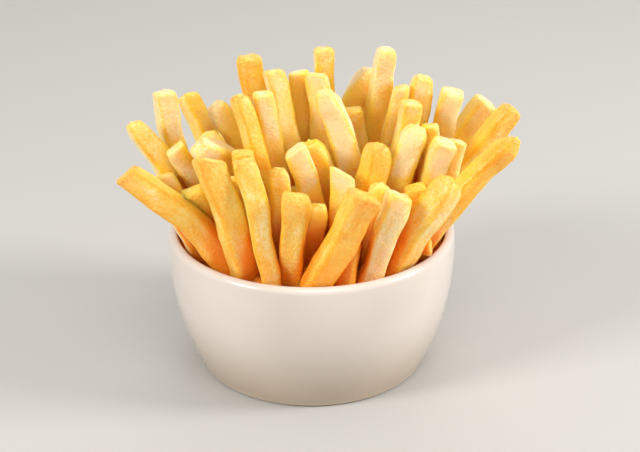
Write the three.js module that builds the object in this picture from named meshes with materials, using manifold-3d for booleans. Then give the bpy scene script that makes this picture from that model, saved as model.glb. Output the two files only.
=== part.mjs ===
// A portion of french fries standing in a round glazed bowl.
// Millimetres, +Z up, origin at the centre of the bowl's flat foot, front of the heap towards -Y.

import * as THREE from "three";
import { mergeVertices } from "three/addons/utils/BufferGeometryUtils.js";
import Module from "manifold-3d";

const wasm = await Module();
wasm.setup();

// ---- Driving dimensions of the bowl ----

const RIM_HEIGHT = 55;
const BELLY_RADIUS = 55; // the widest the bowl gets
const BELLY_HEIGHT = 47; // the height at which it is that wide
const SIDE_ARC = 103; // radius of the one arc that the whole side follows
const WALL = 3.4;
const FLOOR = 4.5; // thickness of the bottom
const FLOOR_FILLET = 16; // inside, where the wall turns into the bottom
const FOOT_CORNER = 1.6;
const BOWL_SEGMENTS = 64;
const SIDE_STEPS = 11;
const CORNER_STEPS = 4;
const LIP_STEPS = 6;
const INSIDE_STEPS = 10;
const FILLET_CROWDING = 1.6; // power that draws the inside's points together towards the bottom

// ---- Driving dimensions of the heap ----

const GAP = 0.4; // between the food and the bowl
const CORE_EDGE = 40; // height of the packed core at the wall
const CORE_TOP = 64; // and in the middle
const CORE_SEGMENTS = 40;
const CORE_SIDE_STEPS = 7;
const DOME_STEPS = 6;
const SUNK = 16; // how far a fry runs on below the rim's plane
const CORNER = 0.3; // chamfer of a fry's long edges, as a share of half its thickness
const TIP_ROUND = 1.0;
const FRY_STEPS = 3;
const END_SHARE = 0.9; // past this share of a fry's length lies its end face

// Every fry that shows. foot is where its middle line crosses the plane of the rim, and tip is its
// upper end. thick is the side of its square section at the foot and at the tip. turn is its roll about
// its own length in degrees, bow is how far its middle bulges towards +X, and cut is the slope of its end
// face in degrees, falling towards +X.
const SHOWN = [
  // the front row, left to right
  { foot: [-42.5, -26], tip: [-65.5, -27, 87], thick: [11, 8.6], turn: 10, bow: 4.5, cut: 0 },
  { foot: [-26, -39], tip: [-35, -40, 98], thick: [9.4, 10.5], turn: 30, bow: 2, cut: 15 },
  { foot: [-16, -43], tip: [-23, -41, 98], thick: [7.4, 9], turn: 5, bow: 1, cut: 5 },
  { foot: [-7, -39], tip: [-5, -41, 85], thick: [8, 10.5], turn: 0, bow: 0, cut: 10 },
  { foot: [3.5, -44], tip: [18.5, -45, 86.5], thick: [9.5, 10.3], turn: 10, bow: 1, cut: 0 },
  { foot: [12.5, -38], tip: [13, -37, 66], thick: [7, 7], turn: 0, bow: 0, cut: 0 },
  { foot: [22, -40], tip: [30.5, -39, 84], thick: [8, 9.5], turn: 10, bow: 1, cut: 5 },
  { foot: [35.5, -32], tip: [49.5, -32, 86.5], thick: [11.5, 9.8], turn: 45, bow: 0, cut: 0 },
  // the second row, left to right
  { foot: [-43.5, -8], tip: [-64.5, -14, 102.5], thick: [9.2, 8.2], turn: 30, bow: 3, cut: 0 },
  { foot: [-44, -16.5], tip: [-53, -20, 84], thick: [8, 8], turn: 20, bow: 0, cut: 5 },
  { foot: [-31.5, -22], tip: [-44.5, -29, 80.5], thick: [9, 9], turn: 0, bow: 0, cut: 10 },
  { foot: [-31.5, -13], tip: [-49, -22, 96], thick: [8, 8], turn: 20, bow: 0, cut: -10 },
  { foot: [-19.5, -31], tip: [-29, -33, 88], thick: [7, 7], turn: 0, bow: 0, cut: 15 },
  { foot: [-18, -18], tip: [-23, -24, 94], thick: [8, 8], turn: 10, bow: 0, cut: 5 },
  { foot: [-12.5, -29], tip: [-11, -34, 92.5], thick: [8, 8], turn: 0, bow: 0, cut: 0 },
  { foot: [-2, -30], tip: [3, -37, 79], thick: [8.5, 8.5], turn: 0, bow: 0, cut: -10 },
  { foot: [8, -20], tip: [-5, -24, 95.5], thick: [9, 9], turn: 5, bow: 0, cut: -20 },
  { foot: [12, -29], tip: [10, -26, 87], thick: [9.3, 9.3], turn: 5, bow: 0, cut: 30 },
  { foot: [21.5, -29], tip: [25, -30, 83.5], thick: [8, 8], turn: 0, bow: 0, cut: 0 },
  { foot: [32.5, -24], tip: [37.5, -27, 82], thick: [8, 8], turn: 0, bow: 0, cut: -15 },
  { foot: [46, -17.5], tip: [73.5, -24, 99], thick: [8.4, 8], turn: 20, bow: -3, cut: 0 },
  { foot: [42, -25], tip: [43, -26, 57], thick: [6.5, 6.5], turn: 20, bow: 0, cut: 10 },
  // the third row, left to right
  { foot: [-46, 1], tip: [-54.5, -2, 109], thick: [8.3, 8], turn: 25, bow: 0, cut: 5 },
  { foot: [-24, 0], tip: [-39, 0, 92], thick: [9.5, 9.5], turn: 0, bow: 0, cut: -10 },
  { foot: [-2, 20], tip: [-40, -27, 98], thick: [9.5, 9.5], turn: 20, bow: 0, cut: 0 },
  { foot: [-10.5, -18], tip: [-25.5, -15, 112.5], thick: [7.2, 7], turn: 30, bow: 0, cut: 0 },
  { foot: [-11.5, 2], tip: [-18, -4, 108], thick: [10, 7.8], turn: 5, bow: 0, cut: 5 },
  { foot: [0, 1], tip: [-13.5, 6, 114], thick: [7.8, 7.8], turn: 20, bow: 0, cut: 5 },
  { foot: [13, -9], tip: [1, -13, 94.5], thick: [9.5, 9], turn: 0, bow: 0, cut: 0 },
  { foot: [23, -4], tip: [4, -7, 110.5], thick: [9.8, 9.6], turn: 0, bow: 1, cut: 10 },
  { foot: [16.5, -19], tip: [24.5, -18, 94.5], thick: [9.8, 9.8], turn: 20, bow: 0, cut: 0 },
  { foot: [23, -15], tip: [38.5, -16, 101], thick: [10, 10], turn: 0, bow: 0, cut: 0 },
  { foot: [40, -10], tip: [49, -20, 95.5], thick: [9, 9], turn: 10, bow: 0, cut: 5 },
  { foot: [46.5, -8], tip: [54, -12, 92.5], thick: [7.5, 7], turn: 0, bow: 0, cut: 0 },
  { foot: [45, -3], tip: [44, -6, 97], thick: [7.5, 7], turn: 0, bow: 0, cut: 0 },
  // the tall ones behind, left to right
  { foot: [-28, 12], tip: [-46.5, 14, 102.5], thick: [8.5, 8], turn: 40, bow: 0, cut: 0 },
  { foot: [-10, 13], tip: [-36, 10, 100], thick: [9.5, 9], turn: 20, bow: 0, cut: -5 },
  { foot: [-17, 24], tip: [-23, 19, 115], thick: [9.7, 9.7], turn: 0, bow: 0, cut: 5 },
  { foot: [1, 17], tip: [-5, 16, 109.5], thick: [8, 8], turn: 5, bow: 0, cut: 0 },
  { foot: [6, 7], tip: [3, 5, 113], thick: [9, 9], turn: 5, bow: 0, cut: 5 },
  { foot: [9.5, 17], tip: [5, 15, 119.5], thick: [7.6, 7.4], turn: 5, bow: 0, cut: 0 },
  { foot: [-4, 27], tip: [24.5, 28, 106], thick: [9.5, 9.5], turn: 5, bow: 0, cut: -15 },
  { foot: [20, 18], tip: [17, 8, 98.5], thick: [8, 8], turn: 5, bow: 0, cut: 0 },
  { foot: [19.5, 27], tip: [28, 11, 121], thick: [10.5, 7.6], turn: 10, bow: 0, cut: 5 },
  { foot: [25.5, 7], tip: [33.5, 2, 108.5], thick: [7.5, 6.5], turn: 5, bow: 0, cut: -20 },
  { foot: [26, 3], tip: [37, -4, 105], thick: [8.5, 8], turn: 10, bow: 0, cut: 0 },
  { foot: [32.5, 13], tip: [42, 8, 110.5], thick: [9, 9], turn: 0, bow: 0, cut: 5 },
  { foot: [44.5, 14], tip: [53, 6, 105.5], thick: [8.8, 8.8], turn: 0, bow: 0, cut: 0 },
  { foot: [40, 24], tip: [67, 14, 98], thick: [8.8, 8.8], turn: 10, bow: 0, cut: 0 },
  { foot: [42, 5], tip: [75, 1, 100.5], thick: [8.8, 8.8], turn: 10, bow: 0, cut: 0 },
];

// The fries at the back and those low in the heap stand on an even grid, wherever no fry stands yet.
const GRID_STEP = 10.8;
const GRID_RADIUS = 45.5; // how far out a foot may stand
const GRID_CLEAR = 8.8; // how far its foot keeps from another fry's foot
const BACK_LINE = 20; // behind this Y the heap shows only from the back
const BACK_RISE = 44; // how far a back fry's tip stands above the rim
const BACK_FALL = 0.4; // less this for each millimetre to the back
const SIDE_FALL = 0.12; // and this for each millimetre to the side
const LOW_RISE = 21; // rise of a tip low between the front fries
const RISE_SPREAD = 4;
const OUTWARD_LEAN = 0.42; // sideways run of a tip for each millimetre of height, at the wall
const GRID_THICK = 9;
const THICK_SPREAD = 0.7;
const GRID_TURN = 90; // the most that such a fry is rolled, in degrees
const GRID_CUT = 15; // and that its end slopes, either way
const RANDOM_SEED = 20011;

// How the fries settle past each other.
const SETTLE_ROUNDS = 80;
const NEAR = 26; // pairs whose middle lines start farther apart than this never meet
const SLIP_ANGLE = 0.45; // radians: fries that cross slide to the back and down at this slope
const SLIP_SHARE = 0.3; // how much of a crossing one round takes away
const SIDE_SHARE = 0.17; // and how much of it sideways
const LEAST_SLIP = 0.3;
const HOLD = 0.1; // pull of an end back to its place, across the slide
const CONTACT = 0.05; // crossings smaller than this are left
const PROBES = 14; // points of a fry that are held clear of the bowl
const PROBED_SHARE = 0.6; // up to this share of its length above the rim

const LATHE_TURN = Math.PI / 2; // brings the lathe's axis Y up to Z
const MERGE_WITHIN = 1e-3; // vertices closer than this are one
const TINY = 1e-6; // keeps a division off zero

// ---- The bowl ----

function outerRadius(z) {
  const below = BELLY_HEIGHT - z;
  return BELLY_RADIUS - (SIDE_ARC - Math.sqrt(SIDE_ARC ** 2 - below ** 2));
}

// Radius of the inside at height z, widened or narrowed by an offset that also lifts the floor.
function innerRadius(z, offset) {
  const wall = outerRadius(z) - WALL - offset;
  const rise = Math.min(1, (z - FLOOR - offset) / FLOOR_FILLET);
  return wall - FLOOR_FILLET * (1 - Math.sqrt(1 - (1 - rise) ** 2));
}

function innerProfile(top, offset, steps) {
  const bottom = FLOOR + offset;
  const points = [];
  for (let step = 0; step <= steps; step++) {
    const share = step / steps;
    const z = bottom + (top - bottom) * share ** FILLET_CROWDING;
    points.push(new THREE.Vector2(innerRadius(z, offset), z));
  }
  return points;
}

// From the middle of the foot out, up the side, over the lip and down the inside.
function bowlProfile() {
  const points = [new THREE.Vector2(0, 0)];
  const cornerRadius = outerRadius(FOOT_CORNER) - FOOT_CORNER;
  for (let step = 0; step <= CORNER_STEPS; step++) {
    const angle = (step / CORNER_STEPS) * (Math.PI / 2);
    const r = cornerRadius + FOOT_CORNER * Math.sin(angle);
    points.push(new THREE.Vector2(r, FOOT_CORNER * (1 - Math.cos(angle))));
  }
  const lip = WALL / 2;
  const lipHeight = RIM_HEIGHT - lip;
  for (let step = 1; step <= SIDE_STEPS; step++) {
    const z = FOOT_CORNER + ((lipHeight - FOOT_CORNER) * step) / SIDE_STEPS;
    points.push(new THREE.Vector2(outerRadius(z), z));
  }
  const lipRadius = outerRadius(lipHeight) - lip;
  for (let step = 1; step < LIP_STEPS; step++) {
    const angle = (step / LIP_STEPS) * Math.PI;
    points.push(new THREE.Vector2(lipRadius + lip * Math.cos(angle), lipHeight + lip * Math.sin(angle)));
  }
  points.push(...innerProfile(lipHeight, 0, INSIDE_STEPS).reverse());
  points.push(new THREE.Vector2(0, FLOOR));
  return points;
}

function lathed(profile, segments) {
  return new THREE.LatheGeometry(profile, segments).rotateX(LATHE_TURN);
}

// ---- Solids ----

function solidOf(geometry) {
  const bare = new THREE.BufferGeometry();
  bare.setAttribute("position", geometry.getAttribute("position"));
  bare.setIndex(geometry.index);
  const merged = mergeVertices(bare, MERGE_WITHIN);
  const mesh = new wasm.Mesh({
    numProp: 3,
    vertProperties: new Float32Array(merged.attributes.position.array),
    triVerts: new Uint32Array(merged.index.array),
  });
  return new wasm.Manifold(mesh);
}

function geometryOf(solid) {
  const mesh = solid.getMesh();
  const geometry = new THREE.BufferGeometry();
  geometry.setAttribute("position", new THREE.BufferAttribute(mesh.vertProperties, 3));
  geometry.setIndex(new THREE.BufferAttribute(mesh.triVerts, 1));
  geometry.computeVertexNormals();
  return geometry;
}

// ---- The heap ----

// A small repeatable source of random numbers from 0 to 1: each state is the last one times a
// multiplier, modulo a prime.
function randomSource(seed) {
  const multiplier = 16807;
  const prime = 2147483647;
  let state = seed;
  return () => {
    state = (state * multiplier) % prime;
    return state / prime;
  };
}

function shownFries() {
  return SHOWN.map((row) => ({
    ...row,
    foot: new THREE.Vector3(row.foot[0], row.foot[1], RIM_HEIGHT),
    tip: new THREE.Vector3(...row.tip),
  }));
}

function addGridFries(fries) {
  const random = randomSource(RANDOM_SEED);
  const rowStep = (GRID_STEP * Math.sqrt(3)) / 2; // rows of a grid of even triangles
  const reach = Math.ceil(GRID_RADIUS / rowStep);
  for (let row = -reach; row <= reach; row++) {
    for (let column = -reach; column <= reach; column++) {
      const x = (column + (row % 2 === 0 ? 0 : 0.5)) * GRID_STEP;
      const y = row * rowStep;
      const foot = new THREE.Vector3(x, y, RIM_HEIGHT);
      const taken = fries.some((fry) => fry.foot.distanceTo(foot) < GRID_CLEAR);
      if (Math.hypot(x, y) > GRID_RADIUS || taken) continue;
      const highest = y > BACK_LINE ? BACK_RISE - BACK_FALL * y - SIDE_FALL * Math.abs(x) : LOW_RISE;
      const rise = highest + RISE_SPREAD * (random() - 0.5) * 2;
      const lean = (OUTWARD_LEAN * rise) / GRID_RADIUS;
      const tip = new THREE.Vector3(x * (1 + lean), y * (1 + lean), RIM_HEIGHT + rise);
      const thick = GRID_THICK + THICK_SPREAD * (random() - 0.5) * 2;
      const turn = GRID_TURN * random();
      const cut = GRID_CUT * (random() - 0.5) * 2;
      fries.push({ foot, tip, thick: [thick, thick], turn, bow: 0, cut });
    }
  }
}

// Unit vectors along a fry, across it, and the two that its square section is set to.
function directions(fry) {
  const along = fry.tip.clone().sub(fry.foot).normalize();
  const across = new THREE.Vector3(0, 1, 0).cross(along).normalize();
  const back = along.clone().cross(across);
  const roll = THREE.MathUtils.degToRad(fry.turn);
  const wide = across.clone().multiplyScalar(Math.cos(roll)).addScaledVector(back, Math.sin(roll));
  const deep = back.clone().multiplyScalar(Math.cos(roll)).addScaledVector(across, -Math.sin(roll));
  return { along, across, wide, deep };
}

// Where two middle lines come closest, as shares of their lengths.
function closestShares(first, second) {
  const u = first.tip.clone().sub(first.foot);
  const v = second.tip.clone().sub(second.foot);
  const w = first.foot.clone().sub(second.foot);
  const uu = u.dot(u);
  const vv = v.dot(v);
  const uv = u.dot(v);
  const clamp = (share) => Math.min(1, Math.max(0, share));
  const spread = Math.max(uu * vv - uv * uv, TINY);
  let s = clamp((uv * v.dot(w) - u.dot(w) * vv) / spread);
  const free = (uv * s + v.dot(w)) / vv;
  const t = clamp(free);
  if (free !== t) s = clamp((uv * t - u.dot(w)) / uu);
  return [s, t];
}

function pointAt(fry, share) {
  return fry.foot.clone().lerp(fry.tip, share);
}

function move(fry, share, push) {
  fry.foot.addScaledVector(push, 1 - share);
  fry.tip.addScaledVector(push, share);
}

function thickAt(fry, share) {
  return THREE.MathUtils.lerp(fry.thick[0], fry.thick[1], Math.max(0, share));
}

// How far a fry bows towards +X, at a share of its whole length with its sunk part.
function bulgeOf(fry, share) {
  return fry.bow * 4 * share * (1 - share);
}

// Half the width of a fry's section along a direction.
function reachOf(fry, frame, share, direction) {
  const spans = Math.abs(frame.wide.dot(direction)) + Math.abs(frame.deep.dot(direction));
  return (thickAt(fry, share) / 2) * spans;
}

// Keeps a fry inside the wall below the lip, and off the lip where it leans over it.
function keepClearOfBowl(fry) {
  const frame = directions(fry);
  const lip = WALL / 2;
  const lipHeight = RIM_HEIGHT - lip;
  const lipRadius = outerRadius(lipHeight) - lip;
  const sunkShare = SUNK / fry.foot.distanceTo(fry.tip);
  for (let probe = 0; probe < PROBES; probe++) {
    const share = THREE.MathUtils.lerp(-sunkShare, PROBED_SHARE, probe / (PROBES - 1));
    const bowed = bulgeOf(fry, (share + sunkShare) / (1 + sunkShare));
    const point = pointAt(fry, share).addScaledVector(frame.across, bowed);
    const outward = new THREE.Vector3(point.x, point.y, 0).normalize();
    const ahead = Math.hypot(point.x, point.y) - lipRadius;
    const above = point.z - lipHeight;
    let away = outward.clone().negate(); // beside the wall the only way is in
    let room = -ahead;
    if (above > 0) {
      room = Math.hypot(ahead, above);
      away = outward.multiplyScalar(ahead / room).setZ(above / room);
    }
    const lack = reachOf(fry, frame, share, away) + lip + GAP - room;
    if (lack > 0) move(fry, Math.max(0, share), away.multiplyScalar(lack));
  }
}

// Moves fries that cross apart, a little in each round.
function settle(fries) {
  const slip = new THREE.Vector3(0, Math.cos(SLIP_ANGLE), -Math.sin(SLIP_ANGLE));
  const homes = fries.map((fry) => [fry.foot.clone(), fry.tip.clone()]);
  const pairs = [];
  fries.forEach((first, i) => {
    fries.slice(i + 1).forEach((second) => {
      const [s, t] = closestShares(first, second);
      if (pointAt(first, s).distanceTo(pointAt(second, t)) < NEAR) pairs.push([first, second]);
    });
  });
  for (let round = 0; round < SETTLE_ROUNDS; round++) {
    const frames = new Map(fries.map((fry) => [fry, directions(fry)]));
    for (const [first, second] of pairs) {
      const [s, t] = closestShares(first, second);
      const apart = pointAt(first, s).sub(pointAt(second, t));
      const distance = Math.max(apart.length(), TINY);
      apart.divideScalar(distance);
      const firstReach = reachOf(first, frames.get(first), s, apart);
      const secondReach = reachOf(second, frames.get(second), t, apart);
      const crossing = firstReach + secondReach - distance;
      if (crossing < CONTACT) continue;
      const slope = apart.dot(slip);
      const way = slope >= 0 ? 1 : -1;
      const push = apart.clone().addScaledVector(slip, -slope).multiplyScalar(crossing * SIDE_SHARE);
      push.addScaledVector(slip, way * crossing * SLIP_SHARE * Math.max(Math.abs(slope), LEAST_SLIP));
      move(first, s, push);
      move(second, t, push.negate());
    }
    fries.forEach((fry, index) => {
      [fry.foot, fry.tip].forEach((end, which) => {
        const back = homes[index][which].clone().sub(end);
        back.addScaledVector(slip, -back.dot(slip));
        end.addScaledVector(back, HOLD);
      });
      keepClearOfBowl(fry);
    });
  }
}

// A fry: a square bar with chamfered edges and ends, bent and cut to its own shape, then set in its place.
function fryGeometry(fry) {
  const half = fry.thick[0] / 2;
  const flat = half * (1 - CORNER);
  const section = new THREE.Shape([
    new THREE.Vector2(half, -flat),
    new THREE.Vector2(half, flat),
    new THREE.Vector2(flat, half),
    new THREE.Vector2(-flat, half),
    new THREE.Vector2(-half, flat),
    new THREE.Vector2(-half, -flat),
    new THREE.Vector2(-flat, -half),
    new THREE.Vector2(flat, -half),
  ]);
  const length = fry.foot.distanceTo(fry.tip) + SUNK;
  const geometry = new THREE.ExtrudeGeometry(section, {
    depth: length - 2 * TIP_ROUND,
    steps: FRY_STEPS,
    bevelThickness: TIP_ROUND,
    bevelSize: TIP_ROUND,
    bevelOffset: -TIP_ROUND,
    bevelSegments: 1,
  });
  const { along, across, wide, deep } = directions(fry);
  const start = fry.foot.clone().addScaledVector(along, -SUNK);
  const slope = Math.tan(THREE.MathUtils.degToRad(fry.cut));
  const position = geometry.getAttribute("position");
  for (let index = 0; index < position.count; index++) {
    const share = (position.getZ(index) + TIP_ROUND) / length;
    const taper = thickAt(fry, (share * length - SUNK) / (length - SUNK)) / fry.thick[0];
    const x = position.getX(index) * taper;
    const y = position.getY(index) * taper;
    const fall = share > END_SHARE ? x * slope : 0;
    const point = start.clone().addScaledVector(along, share * length - fall);
    point.addScaledVector(wide, x).addScaledVector(deep, y).addScaledVector(across, bulgeOf(fry, share));
    position.setXYZ(index, point.x, point.y, point.z);
  }
  return geometry;
}

function coreProfile() {
  const points = [new THREE.Vector2(0, FLOOR + GAP), ...innerProfile(CORE_EDGE, GAP, CORE_SIDE_STEPS)];
  const edgeRadius = innerRadius(CORE_EDGE, GAP);
  for (let step = 1; step <= DOME_STEPS; step++) {
    const angle = (step / DOME_STEPS) * (Math.PI / 2);
    const r = step === DOME_STEPS ? 0 : edgeRadius * Math.cos(angle);
    points.push(new THREE.Vector2(r, CORE_EDGE + (CORE_TOP - CORE_EDGE) * Math.sin(angle)));
  }
  return points;
}

function heapGeometry() {
  const fries = shownFries();
  addGridFries(fries);
  settle(fries);
  const core = solidOf(lathed(coreProfile(), CORE_SEGMENTS));
  const fused = fries.reduce((heap, fry) => heap.add(solidOf(fryGeometry(fry))), core);
  // Hollows that the fusing has sealed come out as bodies of their own, and only the heap itself is kept.
  const largest = fused.decompose().reduce((best, body) => (body.volume() > best.volume() ? body : best));
  return geometryOf(largest);
}

// ---- The scene graph ----

const portion = new THREE.Group();

const glaze = new THREE.MeshStandardMaterial({ color: 0xeee5da, roughness: 0.2, metalness: 0 });
const bowl = new THREE.Mesh(lathed(bowlProfile(), BOWL_SEGMENTS), glaze);
bowl.name = "bowl";
portion.add(bowl);

const potato = new THREE.MeshStandardMaterial({ color: 0xf0b84a, roughness: 0.5, metalness: 0 });
const fries = new THREE.Mesh(heapGeometry(), potato);
fries.name = "fries";
portion.add(fries);

export default portion;
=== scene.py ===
# %% [markdown]
# # A portion of french fries in a glazed bowl
# Two things make this dish: a round bowl with a cream-white glaze, and a heap of fried potato sticks
# that stand in it and fan out over its rim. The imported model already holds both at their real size.
# Here each gets its true surface. The CAD solids stay where they are, and each new piece stands for one.

# %% The frame
import math

import bmesh
import bpy
import numpy as np
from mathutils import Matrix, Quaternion, Vector, noise


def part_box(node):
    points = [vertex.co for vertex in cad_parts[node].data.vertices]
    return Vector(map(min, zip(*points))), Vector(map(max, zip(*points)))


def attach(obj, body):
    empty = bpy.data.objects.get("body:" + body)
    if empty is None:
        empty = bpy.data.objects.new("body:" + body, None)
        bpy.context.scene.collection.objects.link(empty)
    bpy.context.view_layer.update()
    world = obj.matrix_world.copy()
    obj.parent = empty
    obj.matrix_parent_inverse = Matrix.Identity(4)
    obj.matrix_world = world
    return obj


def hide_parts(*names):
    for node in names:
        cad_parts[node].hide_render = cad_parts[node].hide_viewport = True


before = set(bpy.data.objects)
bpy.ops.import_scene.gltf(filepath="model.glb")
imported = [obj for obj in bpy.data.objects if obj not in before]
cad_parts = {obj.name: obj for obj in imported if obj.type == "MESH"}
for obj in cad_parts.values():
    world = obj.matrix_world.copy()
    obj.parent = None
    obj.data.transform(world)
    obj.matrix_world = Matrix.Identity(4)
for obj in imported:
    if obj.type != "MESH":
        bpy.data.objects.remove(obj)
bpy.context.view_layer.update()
bowl_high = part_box("bowl")[1]

# %% [markdown]
# ## Units and the bowl's driving sizes
# Kitchen things are easiest to think of in millimetres, while Blender works in metres. So the sizes of
# the dish are written in millimetres, each mesh is modelled in them, and the finished mesh is scaled
# down once. Only the floor, the lamps and the materials, which Blender reads as they are, use metres.

# %% Units and sizes
MM = 0.001
RIM_HEIGHT = bowl_high.z / MM
BELLY_RADIUS = bowl_high.x / MM
BELLY_HEIGHT = 47
SIDE_ARC = 103
WALL = 3.4
FLOOR = 4.5
FLOOR_FILLET = 16
FOOT_CORNER = 1.6
print("The rim is", round(RIM_HEIGHT, 1), "mm high and the bowl", round(2 * BELLY_RADIUS, 1), "mm wide.")

# %% [markdown]
# ## The camera
# A long lens from a step away, looking down at an angle at which somebody at the table sees the dish. A
# long lens keeps the upright fries from leaning together. The camera is placed by its angle and its
# distance from the point it looks at, which is easier to adjust than a position and three rotations.

# %% Camera
LOOK_DOWN = math.radians(25.6)
LOOK_ROLL = math.radians(-0.4)
LOOK_DISTANCE = 600
LOOK_AT = Vector((3.2, 0, 54))
LENS = 87.75
SENSOR = 36


def add_camera():
    back = Vector((0, -math.cos(LOOK_DOWN), math.sin(LOOK_DOWN)))
    camera = bpy.data.objects.new("camera", bpy.data.cameras.new("camera"))
    bpy.context.scene.collection.objects.link(camera)
    camera.data.lens = LENS
    camera.data.sensor_width = SENSOR
    camera.location = (LOOK_AT + back * LOOK_DISTANCE) * MM
    camera.rotation_mode = "QUATERNION"
    roll = Quaternion((0, 0, 1), LOOK_ROLL)
    camera.rotation_quaternion = (-back).to_track_quat("-Z", "Y") @ roll
    bpy.context.scene.camera = camera
    return camera


camera = add_camera()
print("The camera stands at", [round(value, 3) for value in camera.location])

# %% [markdown]
# ## The floor
# The dish stands on a plain pale floor. A wide flat grid of one face is enough, since nothing but the
# dish's soft shadow has to show on it. It belongs to the stage and isn't a piece of the dish.

# %% Floor
FLOOR_SIZE = 6
FLOOR_COLOUR = (0.45, 0.44, 0.42, 1)
FLOOR_ROUGHNESS = 0.7


def add_floor():
    shape = bmesh.new()
    bmesh.ops.create_grid(shape, x_segments=1, y_segments=1, size=FLOOR_SIZE / 2)
    mesh = bpy.data.meshes.new("floor")
    shape.to_mesh(mesh)
    shape.free()
    floor = bpy.data.objects.new("floor", mesh)
    bpy.context.scene.collection.objects.link(floor)
    paint = bpy.data.materials.new("floor_paint")
    paint.use_nodes = True
    shader = paint.node_tree.nodes["Principled BSDF"]
    shader.inputs["Base Color"].default_value = FLOOR_COLOUR
    shader.inputs["Roughness"].default_value = FLOOR_ROUGHNESS
    mesh.materials.append(paint)


add_floor()
print("The floor is", FLOOR_SIZE, "m wide.")

# %% [markdown]
# ## Studio light
# Food is lit by large soft lamps, because small hard ones leave black gaps between the fries. The two
# strong softboxes stand at the left and at the right. A weak one above the front lights the tops, one
# behind draws bright outlines, and a pale room fills the shadows. Blender's usual view transform would
# wash out strong yellows, so the scene uses the Standard one.

# %% Room and softboxes
ROOM_COLOUR = (1.0, 0.98, 0.95, 1)
ROOM_STRENGTH = 0.61
NEUTRAL = (1, 0.99, 0.98)
WARM = (1, 0.99, 0.97)
ROSY = (1, 0.98, 0.97)


def add_room():
    room = bpy.data.worlds.new("room")
    room.use_nodes = True
    light = room.node_tree.nodes["Background"]
    light.inputs["Color"].default_value = ROOM_COLOUR
    light.inputs["Strength"].default_value = ROOM_STRENGTH
    bpy.context.scene.world = room
    bpy.context.scene.view_settings.view_transform = "Standard"


def add_softbox(name, place, width, height, watts, colour):
    lamp = bpy.data.lights.new(name, "AREA")
    lamp.shape = "RECTANGLE"
    lamp.size = width
    lamp.size_y = height
    lamp.energy = watts
    lamp.color = colour
    stand = bpy.data.objects.new(name, lamp)
    bpy.context.scene.collection.objects.link(stand)
    stand.location = place
    aim = LOOK_AT * MM - stand.location
    stand.rotation_mode = "QUATERNION"
    stand.rotation_quaternion = aim.to_track_quat("-Z", "Y")
    print(name, "gives", watts, "W.")


add_room()
add_softbox("left_softbox", place=(-0.8, -0.52, 0.64), width=0.3, height=0.3, watts=8.5, colour=WARM)
add_softbox("right_softbox", place=(0.98, -0.17, 0.54), width=0.3, height=0.4, watts=11, colour=ROSY)
add_softbox("top_softbox", place=(0.1, -0.5, 1.0), width=0.5, height=0.4, watts=2.8, colour=NEUTRAL)
add_softbox("back_softbox", place=(0.1, 0.7, 0.7), width=0.6, height=0.4, watts=1.7, colour=NEUTRAL)

# %% [markdown]
# ## The bowl
# The real bowl was pressed or thrown, then dipped in glaze. Its side is one arc from the foot to the
# belly, and the lip is as round as the wall is thick. A half outline is therefore all that has to be
# drawn: spinning it about the upright axis makes the whole bowl, wall, lip, inside and foot.

# %% Bowl outline
LIP_POINTS = 8
LIP_ROUND = 2.4
CORNER_POINTS = 8
SIDE_POINTS = 40
INSIDE_POINTS = 32


def outer_radius(z):
    below = BELLY_HEIGHT - z
    return BELLY_RADIUS - (SIDE_ARC - math.sqrt(SIDE_ARC**2 - below**2))


def inner_radius(z, offset):
    wall = outer_radius(z) - WALL - offset
    rise = min(1, (z - FLOOR - offset) / FLOOR_FILLET)
    return wall - FLOOR_FILLET * (1 - math.sqrt(1 - (1 - rise) ** 2))


def inside_outline(top, offset, points):
    """The inside from the bottom up, with its points drawn together in the fillet."""
    draw_down = 1.6
    bottom = FLOOR + offset
    heights = [bottom + (top - bottom) * (step / points) ** draw_down for step in range(points + 1)]
    return [(inner_radius(z, offset), z) for z in heights]


def bowl_outline():
    """From the middle of the foot out, up the side, over the lip, down the inside and back to the axis."""
    outline = [(0, 0)]
    corner_radius = outer_radius(FOOT_CORNER) - FOOT_CORNER
    for step in range(CORNER_POINTS + 1):
        angle = step / CORNER_POINTS * math.pi / 2
        outline.append((corner_radius + FOOT_CORNER * math.sin(angle), FOOT_CORNER * (1 - math.cos(angle))))
    lip_height = RIM_HEIGHT - LIP_ROUND
    for step in range(1, SIDE_POINTS + 1):
        z = FOOT_CORNER + (lip_height - FOOT_CORNER) * step / SIDE_POINTS
        outline.append((outer_radius(z), z))
    inner_lip = WALL - LIP_ROUND
    top_radius = outer_radius(lip_height) - LIP_ROUND
    for step in range(1, 2 * LIP_POINTS):
        angle = step / LIP_POINTS * math.pi / 2
        lip = LIP_ROUND if step <= LIP_POINTS else inner_lip
        outline.append((top_radius + lip * math.cos(angle), RIM_HEIGHT - lip * (1 - math.sin(angle))))
    outline.extend(reversed(inside_outline(RIM_HEIGHT - inner_lip, 0, INSIDE_POINTS)))
    outline.append((0, FLOOR))
    return outline


print("The bowl's half outline has", len(bowl_outline()), "points.")

# %% [markdown]
# ## Spinning the outline
# The outline starts and ends on the axis, so the spun mesh is closed: its first and last points become
# one point each, in the middle of the foot and of the floor. The helper that finishes a piece scales it
# to metres, and tells the frame which solid the piece stands for. Every later piece goes through it.

# %% Bowl mesh
BOWL_STEPS = 160
MERGE_WITHIN = 0.001


def spun(outline, steps):
    """A closed mesh in millimetres from a half outline whose ends are on the axis."""
    shape = bmesh.new()
    points = [shape.verts.new((radius, 0, z)) for radius, z in outline]
    edges = [shape.edges.new(pair) for pair in zip(points, points[1:])]
    bmesh.ops.spin(
        shape,
        geom=points + edges,
        axis=(0, 0, 1),
        cent=(0, 0, 0),
        angle=math.tau,
        steps=steps,
        use_merge=True,
    )
    bmesh.ops.remove_doubles(shape, verts=shape.verts, dist=MERGE_WITHIN)
    bmesh.ops.recalc_face_normals(shape, faces=shape.faces)
    return shape


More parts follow.
